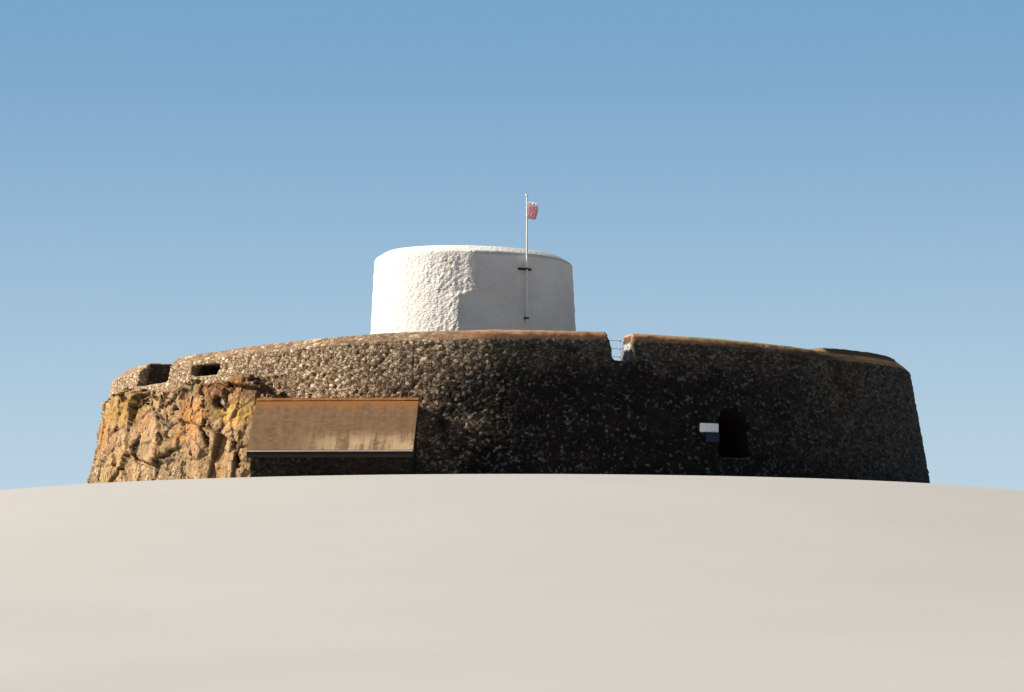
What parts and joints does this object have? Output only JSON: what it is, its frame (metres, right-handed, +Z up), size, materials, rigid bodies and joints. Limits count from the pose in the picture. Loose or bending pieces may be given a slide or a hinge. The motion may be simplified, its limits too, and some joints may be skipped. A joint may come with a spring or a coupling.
{
  "type": "martello tower in its rampart ring, 1:2 scale model",
  "caption": "Round limewashed gun tower inside a battered round rubble rampart, with gate, embrasures, store, rock face and flagpole, at half size.",
  "frame": {"origin": "on the level base, at the centre of the rampart ring", "axes": "+Z up, -Y towards the side with the store and the gate"},
  "size_m": [22.58, 23.85, 7.99],
  "materials": {
    "rubble": "rough rubble in lime mortar",
    "coping_stone": "weathered mortar coping with lichen",
    "dressed_stone": "dressed granite",
    "paving": "worn flags",
    "limewash": "limewashed rubble",
    "rock": "natural granite with lichen",
    "slate": "weathered slates on boarding",
    "timber": "painted timber",
    "boards": "old boarding",
    "ironwork": "painted iron",
    "galvanised": "pale painted steel tube",
    "pole_paint": "white painted pole",
    "flag_cloth": "worn bunting",
    "board_paint": "painted sheet",
    "blue_paint": "painted sheet"
  },
  "bodies": {
    "root": {"coping_back_left": "coping_stone", "coping_back_right": "coping_stone", "coping_front": "coping_stone", "coping_front_left": "coping_stone", "coping_gate": "coping_stone", "coping_left": "coping_stone", "coping_right": "coping_stone", "courtyard": "paving", "flag": "flag_cloth", "flagpole": "pole_paint", "gate_arch": "rubble", "gate_threshold": "dressed_stone", "lower_board": "blue_paint", "notch_railing": "galvanised", "notice_board": "board_paint", "parapet_back_left": "rubble", "parapet_back_right": "rubble", "parapet_front": "rubble", "parapet_gate": "rubble", "parapet_left": "rubble", "parapet_right": "rubble", "parapet_slot_left_pier": "rubble", "parapet_slot_right_pier": "rubble", "pole_lower_bracket": "ironwork", "pole_upper_bracket": "ironwork", "rampart_back": "rubble", "rampart_back_left": "rubble", "rampart_front": "rubble", "rampart_gate_left": "rubble", "rampart_gate_right": "rubble", "rampart_left": "rubble", "rampart_right": "rubble", "rock_face": "rock", "slot_lintel": "dressed_stone", "slot_sill": "rubble", "store_eave_board": "timber", "store_floor": "paving", "store_front_wall": "rubble", "store_left_gable": "rubble", "store_ridge_cap": "slate", "store_right_gable": "rubble", "store_roof_back": "slate", "store_roof_front": "slate", "tower_coping": "limewash", "tower_door": "boards", "tower_first_floor": "boards", "tower_gun_platform": "paving", "tower_parapet_back": "limewash", "tower_parapet_front": "limewash", "tower_vault": "limewash", "tower_wall_back": "limewash", "tower_wall_front": "limewash", "tower_wall_left": "limewash", "tower_wall_right": "limewash"}
  },
  "joints": []
}
